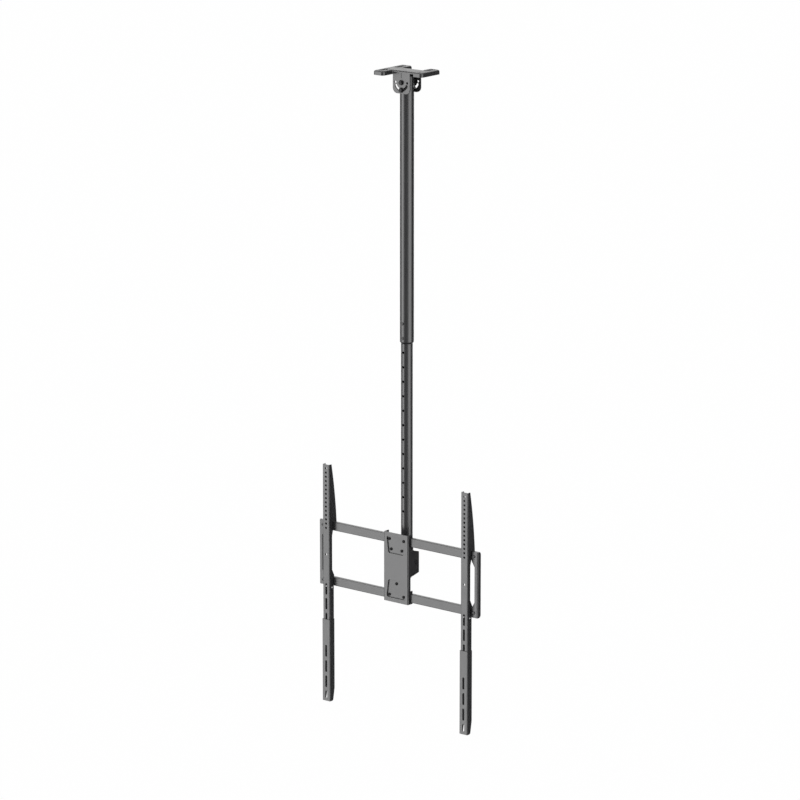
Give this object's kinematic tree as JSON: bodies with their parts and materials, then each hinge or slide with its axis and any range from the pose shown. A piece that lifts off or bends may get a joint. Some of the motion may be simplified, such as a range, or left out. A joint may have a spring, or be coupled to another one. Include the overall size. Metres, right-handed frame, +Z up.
{
  "type": "tv ceiling mount",
  "caption": "Ceiling mount for a television: folded ceiling plate, telescopic column, swivel and tilt head with rails and hooked arms.",
  "frame": {"origin": "middle of the ceiling plate's top face, which lies against the ceiling", "axes": "+Z up, +X to the right seen from the television's side, -Y towards the television"},
  "size_m": [0.6874, 0.158, 2.2212],
  "materials": {
    "black_powder_coat": "satin powder coat",
    "black_steel": "black oxide",
    "friction_nylon": "matt",
    "nylon": "matt"
  },
  "bodies": {
    "ceiling_bracket": {"ceiling_plate": "black_powder_coat", "pivot_bolt": "black_steel", "pivot_nut": "black_steel", "pivot_washers": "black_steel"},
    "outer_column": {"outer_tube": "black_powder_coat", "pivot_sleeve": "black_steel", "lock_sleeve": "black_steel", "lock_bolt": "black_steel", "lock_nut": "black_steel", "lock_washers": "black_steel", "column_lock_screws": "black_steel"},
    "inner_column": {"inner_tube": "black_powder_coat", "glide_ring": "nylon", "thrust_washer": "friction_nylon", "retaining_disc": "black_powder_coat"},
    "swivel_head": {"swivel_collar": "black_powder_coat", "swivel_lock_screw": "black_steel", "tilt_yoke": "black_powder_coat", "tilt_washers": "friction_nylon"},
    "tv_frame": {"front_plate": "black_powder_coat", "rear_bracket": "black_powder_coat", "upper_rail": "black_powder_coat", "lower_rail": "black_powder_coat", "tilt_bolts": "black_steel", "tilt_nuts": "black_steel", "plate_screws": "black_steel", "plate_nuts": "black_steel", "end_bracket_left": "black_powder_coat", "end_bracket_right": "black_powder_coat", "end_bracket_screws": "black_steel"},
    "left_arm": {"arm_left": "black_powder_coat"},
    "right_arm": {"arm_right": "black_powder_coat"},
    "left_extension": {"extension_left": "black_powder_coat"},
    "right_extension": {"extension_right": "black_powder_coat"}
  },
  "joints": [
    {"name": "ear_pivot", "type": "hinge", "parent": "ceiling_bracket", "child": "outer_column", "pos_m": [0, 0, -0.039], "axis": [0, 1, 0], "range_deg": [-60, 60]},
    {"name": "column_slide", "type": "slide", "parent": "outer_column", "child": "inner_column", "axis": [0, 0, 1], "range_m": [0, 0.55]},
    {"name": "head_swivel", "type": "hinge", "parent": "inner_column", "child": "swivel_head", "pos_m": [0, 0, -1.648], "axis": [0, 0, 1], "continuous": true},
    {"name": "head_tilt", "type": "hinge", "parent": "swivel_head", "child": "tv_frame", "pos_m": [0, -0.01, -1.677], "axis": [1, 0, 0], "range_deg": [-3, 15]},
    {"name": "left_arm_slide", "type": "slide", "parent": "tv_frame", "child": "left_arm", "axis": [1, 0, 0], "range_m": [0, 0.2]},
    {"name": "right_arm_slide", "type": "slide", "parent": "tv_frame", "child": "right_arm", "axis": [-1, 0, 0], "range_m": [0, 0.2]},
    {"name": "left_extension_slide", "type": "slide", "parent": "left_arm", "child": "left_extension", "axis": [0, 0, 1], "range_m": [-0.03, 0.08]},
    {"name": "right_extension_slide", "type": "slide", "parent": "right_arm", "child": "right_extension", "axis": [0, 0, 1], "range_m": [-0.03, 0.08]}
  ]
}
